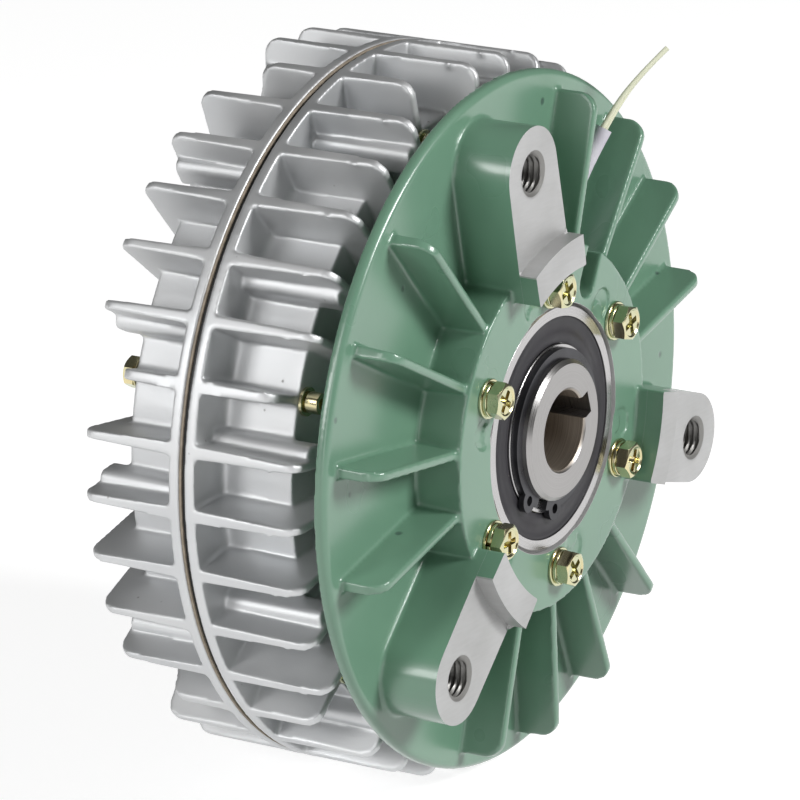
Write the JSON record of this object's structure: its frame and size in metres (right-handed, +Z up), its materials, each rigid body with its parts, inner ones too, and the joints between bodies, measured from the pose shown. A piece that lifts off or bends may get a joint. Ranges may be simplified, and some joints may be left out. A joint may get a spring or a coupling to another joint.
{
  "type": "hollow shaft magnetic powder brake",
  "caption": "Magnetic powder brake with a ribbed three-lug front bracket, a keyed hollow shaft on ball bearings and a finned rotating drum.",
  "frame": {"origin": "on the shaft axis, in the plane of the three lug faces", "axes": "+Y along the shaft from the mounting side to the back, +Z up as the brake stands in the picture, +X to the right seen from the mounting side"},
  "size_m": [0.1796, 0.0916, 0.1796],
  "materials": {
    "bracket_paint": "satin",
    "drum_aluminium": "as cast",
    "shaft_steel": "turned",
    "bearing_steel": "ground",
    "cage_steel": "pressed",
    "seal_rubber": "matte",
    "spring_steel": "oiled",
    "yellow_zinc_steel": "zinc plated",
    "plain_zinc_steel": "zinc plated",
    "core_steel": "machined",
    "stainless_ring": "machined",
    "flange_aluminium": "machined",
    "bobbin_plastic": "matte",
    "winding_copper": "enamelled",
    "iron_powder": "powder",
    "seam_rubber": "matte",
    "gasket_fibre": "matte",
    "wire_insulation": "satin",
    "sleeve_glass_fibre": "matte",
    "grommet_rubber": "matte"
  },
  "bodies": {
    "stator": {"front_bracket": "bracket_paint", "stator_bolts": "yellow_zinc_steel", "stator_bolt_spring_washers": "yellow_zinc_steel", "stator_bolt_flat_washers": "yellow_zinc_steel", "front_bearing_outer_ring": "bearing_steel", "front_bearing_seals": "seal_rubber", "rear_bearing_outer_ring": "bearing_steel", "rear_bearing_seals": "seal_rubber", "core_front_half": "core_steel", "core_rear_half": "core_steel", "coil_cover_ring": "stainless_ring", "coil_bobbin": "bobbin_plastic", "coil_winding": "winding_copper", "coil_tails": "wire_insulation", "lead_grommet": "grommet_rubber", "lead_sleeve": "sleeve_glass_fibre", "lead_wire_a": "wire_insulation", "lead_wire_b": "wire_insulation"},
    "rotor": {"hollow_shaft": "shaft_steel", "front_circlip": "spring_steel", "rear_circlip": "spring_steel", "front_bearing_inner_ring": "bearing_steel", "rear_bearing_inner_ring": "bearing_steel", "bearing_spacer": "core_steel", "drive_flange": "flange_aluminium", "flange_key": "core_steel", "flange_bolts": "plain_zinc_steel", "flange_bolt_washers": "plain_zinc_steel", "drum_front_half": "drum_aluminium", "drum_rear_half": "drum_aluminium", "seam_seal": "seam_rubber", "seam_gasket": "gasket_fibre", "drum_bolts": "yellow_zinc_steel", "drum_bolt_front_washers": "yellow_zinc_steel", "drum_bolt_rear_washers": "yellow_zinc_steel", "drum_nuts": "yellow_zinc_steel", "yoke_ring": "core_steel", "labyrinth_ring": "stainless_ring", "magnetic_powder": "iron_powder"},
    "front_cage": {"front_bearing_cage": "cage_steel", "front_bearing_balls": "bearing_steel"},
    "rear_cage": {"rear_bearing_cage": "cage_steel", "rear_bearing_balls": "bearing_steel"}
  },
  "joints": [
    {"name": "shaft_spin", "type": "hinge", "parent": "stator", "child": "rotor", "pos_m": [0, 0.0436, 0], "axis": [0, 1, 0], "continuous": true},
    {"name": "front_cage_spin", "type": "hinge", "parent": "stator", "child": "front_cage", "pos_m": [0, 0.0106, 0], "axis": [0, 1, 0], "continuous": true},
    {"name": "rear_cage_spin", "type": "hinge", "parent": "stator", "child": "rear_cage", "pos_m": [0, 0.0626, 0], "axis": [0, 1, 0], "continuous": true}
  ],
  "couplings": [
    {"joint": "front_cage_spin", "follows": "shaft_spin", "ratio": 0.4181},
    {"joint": "rear_cage_spin", "follows": "shaft_spin", "ratio": 0.4181}
  ]
}
